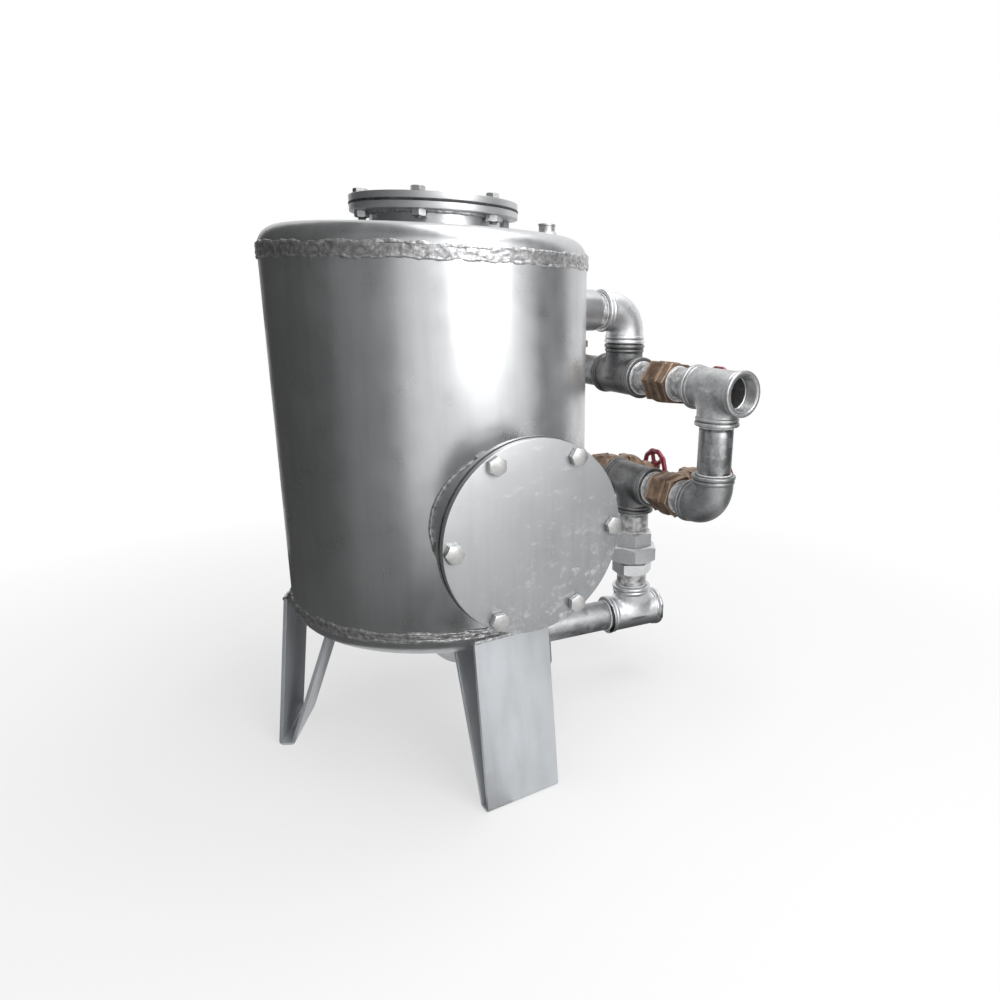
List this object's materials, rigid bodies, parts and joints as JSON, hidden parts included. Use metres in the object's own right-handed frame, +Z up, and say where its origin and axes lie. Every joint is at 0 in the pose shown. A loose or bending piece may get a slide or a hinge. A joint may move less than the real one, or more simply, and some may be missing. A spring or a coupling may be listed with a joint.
{
  "type": "sand filter",
  "caption": "Sand filter for water: upright welded pressure tank on folded legs, bolted top and side manways, threaded side piping with hand-turned gate valves.",
  "frame": {"origin": "on the floor, under the axis of the tank", "axes": "+Z up along the tank axis, +X from the tank axis towards the pipework, side manway facing -Y"},
  "size_m": [0.8113, 0.5972, 0.9265],
  "materials": {
    "tank_paint": "semi-gloss silver grey paint",
    "weld_bead": "rough silver weld bead",
    "leg_paint": "pale grey paint",
    "cover_paint": "scuffed mid grey paint",
    "gasket_rubber": "matte black",
    "bolt_steel": "zinc plated",
    "fitting_iron": "dull galvanised, dark grey",
    "galvanised_iron": "bright galvanised",
    "galvanised_pipe": "galvanised",
    "white_pvc": "smooth",
    "strainer_plastic": "satin",
    "gravel": "coarse grains",
    "sand": "fine grains",
    "valve_brass": "cast, dull",
    "stem_brass": "turned",
    "wheel_paint": "gloss red paint"
  },
  "bodies": {
    "root": {"tank_shell": "tank_paint", "top_head": "tank_paint", "bottom_head": "tank_paint", "top_manway_neck": "tank_paint", "side_manway_neck": "tank_paint", "vent_socket": "tank_paint", "upper_nozzle": "tank_paint", "bottom_nozzle": "tank_paint", "girth_welds": "weld_bead", "leg_front": "leg_paint", "leg_rear_left": "leg_paint", "leg_rear_right": "leg_paint", "top_manway_flange": "cover_paint", "top_manway_cover": "cover_paint", "side_manway_flange": "cover_paint", "side_manway_cover": "cover_paint", "nozzle_plate": "cover_paint", "manway_gaskets": "gasket_rubber", "manway_bolts": "bolt_steel", "manway_nuts": "bolt_steel", "upper_tee": "fitting_iron", "inlet_tee": "fitting_iron", "lower_elbow": "fitting_iron", "lower_tee": "fitting_iron", "upper_elbow": "galvanised_iron", "bottom_elbow": "galvanised_iron", "union_upper_tail": "galvanised_iron", "union_nut": "galvanised_iron", "union_lower_tail": "galvanised_iron", "bottom_tee": "galvanised_iron", "down_pipe": "galvanised_pipe", "bottom_pipe": "galvanised_pipe", "waste_pipe": "galvanised_pipe", "pipe_nipples": "galvanised_pipe", "inlet_diffuser": "white_pvc", "strainers": "strainer_plastic", "gravel_bed": "gravel", "sand_bed": "sand", "gland_nuts": "valve_brass", "inlet_valve_body": "valve_brass", "inlet_valve_bonnet": "valve_brass", "backwash_valve_body": "valve_brass", "backwash_valve_bonnet": "valve_brass", "service_valve_body": "valve_brass", "service_valve_bonnet": "valve_brass", "waste_valve_body": "valve_brass", "waste_valve_bonnet": "valve_brass"},
    "inlet_valve_spindle": {"inlet_valve_stem": "stem_brass", "inlet_valve_handwheel": "wheel_paint"},
    "inlet_valve_gate": {"inlet_valve_wedge": "valve_brass"},
    "backwash_valve_spindle": {"backwash_valve_stem": "stem_brass", "backwash_valve_handwheel": "wheel_paint"},
    "backwash_valve_gate": {"backwash_valve_wedge": "valve_brass"},
    "service_valve_spindle": {"service_valve_stem": "stem_brass", "service_valve_handwheel": "wheel_paint"},
    "service_valve_gate": {"service_valve_wedge": "valve_brass"},
    "waste_valve_spindle": {"waste_valve_stem": "stem_brass", "waste_valve_handwheel": "wheel_paint"},
    "waste_valve_gate": {"waste_valve_wedge": "valve_brass"}
  },
  "joints": [
    {"name": "inlet_valve_turn", "type": "hinge", "parent": "root", "child": "inlet_valve_spindle", "pos_m": [0.392, -0.13575, 0.636], "axis": [0.9945, 0, -0.1045], "range_deg": [0, 3600]},
    {"name": "inlet_valve_lift", "type": "slide", "parent": "root", "child": "inlet_valve_gate", "axis": [0.9945, 0, -0.1045], "range_m": [0, 0.05]},
    {"name": "backwash_valve_turn", "type": "hinge", "parent": "root", "child": "backwash_valve_spindle", "pos_m": [0.392, -0.159, 0.43], "axis": [0.9781, 0, 0.2079], "range_deg": [0, 3600]},
    {"name": "backwash_valve_lift", "type": "slide", "parent": "root", "child": "backwash_valve_gate", "axis": [0.9781, 0, 0.2079], "range_m": [0, 0.05]},
    {"name": "service_valve_turn", "type": "hinge", "parent": "root", "child": "service_valve_spindle", "pos_m": [0.392, 0.0455, 0.43], "axis": [1, 0, 0], "range_deg": [0, 3600]},
    {"name": "service_valve_lift", "type": "slide", "parent": "root", "child": "service_valve_gate", "axis": [1, 0, 0], "range_m": [0, 0.05]},
    {"name": "waste_valve_turn", "type": "hinge", "parent": "root", "child": "waste_valve_spindle", "pos_m": [0.392, 0.195, 0.636], "axis": [0, 0, 1], "range_deg": [0, 3600]},
    {"name": "waste_valve_lift", "type": "slide", "parent": "root", "child": "waste_valve_gate", "axis": [0, 0, 1], "range_m": [0, 0.05]}
  ],
  "couplings": [
    {"joint": "inlet_valve_lift", "follows": "inlet_valve_turn", "m_per_rad": 0.00079577},
    {"joint": "backwash_valve_lift", "follows": "backwash_valve_turn", "m_per_rad": 0.00079577},
    {"joint": "service_valve_lift", "follows": "service_valve_turn", "m_per_rad": 0.00079577},
    {"joint": "waste_valve_lift", "follows": "waste_valve_turn", "m_per_rad": 0.00079577}
  ]
}
